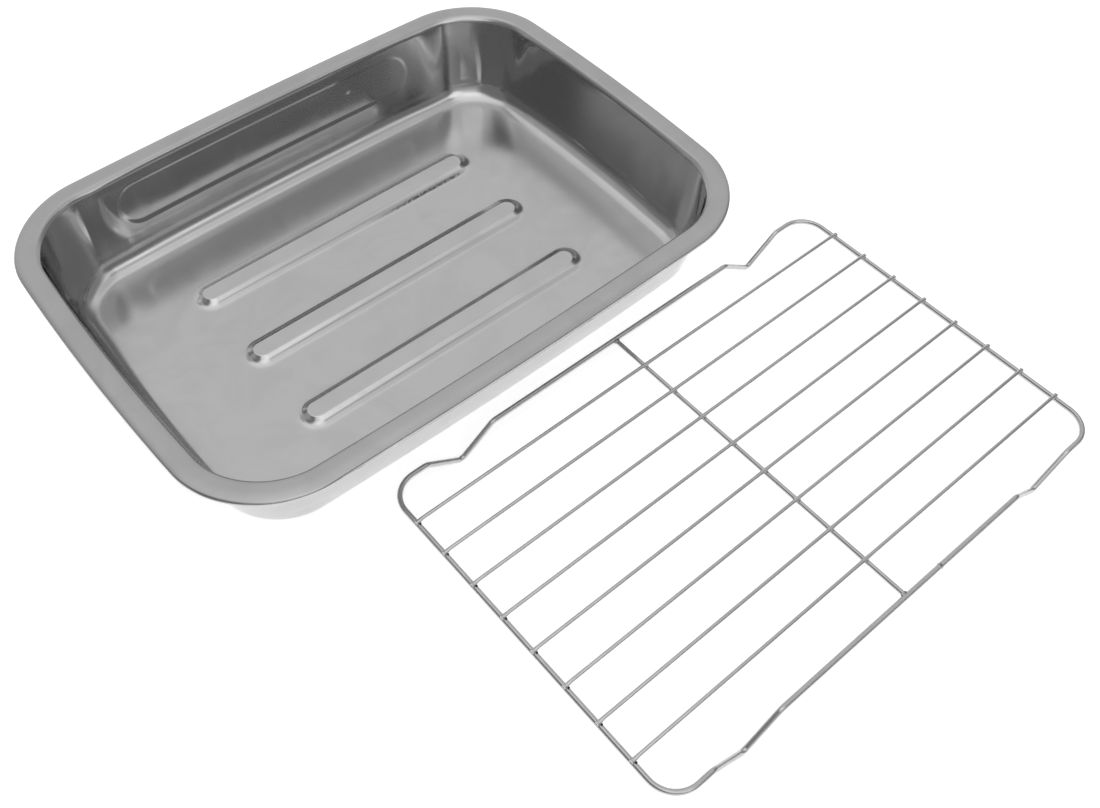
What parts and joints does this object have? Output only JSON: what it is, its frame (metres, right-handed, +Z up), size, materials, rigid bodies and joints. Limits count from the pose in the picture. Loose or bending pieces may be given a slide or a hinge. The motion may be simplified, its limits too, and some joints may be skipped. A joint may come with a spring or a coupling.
{
  "type": "roasting pan with rack",
  "caption": "Rectangular pressed-steel roasting pan with a flat rim and long floor ribs, and a loose wire grill rack on bent feet lying beside it.",
  "frame": {"origin": "middle of the footprint of the pan and its rack, on the surface they stand on", "axes": "+X along the pan's long sides, +Y from the rack to the pan, +Z up"},
  "size_m": [0.3874, 0.4597, 0.055],
  "materials": {
    "pan_steel": "satin pressed stainless steel",
    "rack_wire": "polished steel wire",
    "weld_steel": "squashed resistance welds, dull"
  },
  "bodies": {
    "pan": {"roasting_pan": "pan_steel"},
    "rack": {"rack_frame": "rack_wire", "rack_rod_1": "rack_wire", "rack_rod_2": "rack_wire", "rack_rod_3": "rack_wire", "rack_rod_4": "rack_wire", "rack_rod_5": "rack_wire", "rack_rod_6": "rack_wire", "rack_rod_7": "rack_wire", "rack_rod_8": "rack_wire", "rack_cross_rod": "rack_wire", "frame_butt_weld": "weld_steel", "rod_welds_left": "weld_steel", "rod_welds_right": "weld_steel", "rod_welds_centre": "weld_steel", "cross_rod_welds": "weld_steel"}
  },
  "joints": [
    {"name": "rack_lift", "type": "slide", "parent": "pan", "child": "rack", "axis": [0, -0.342, 0.9397], "range_m": [0, 0.12]}
  ]
}
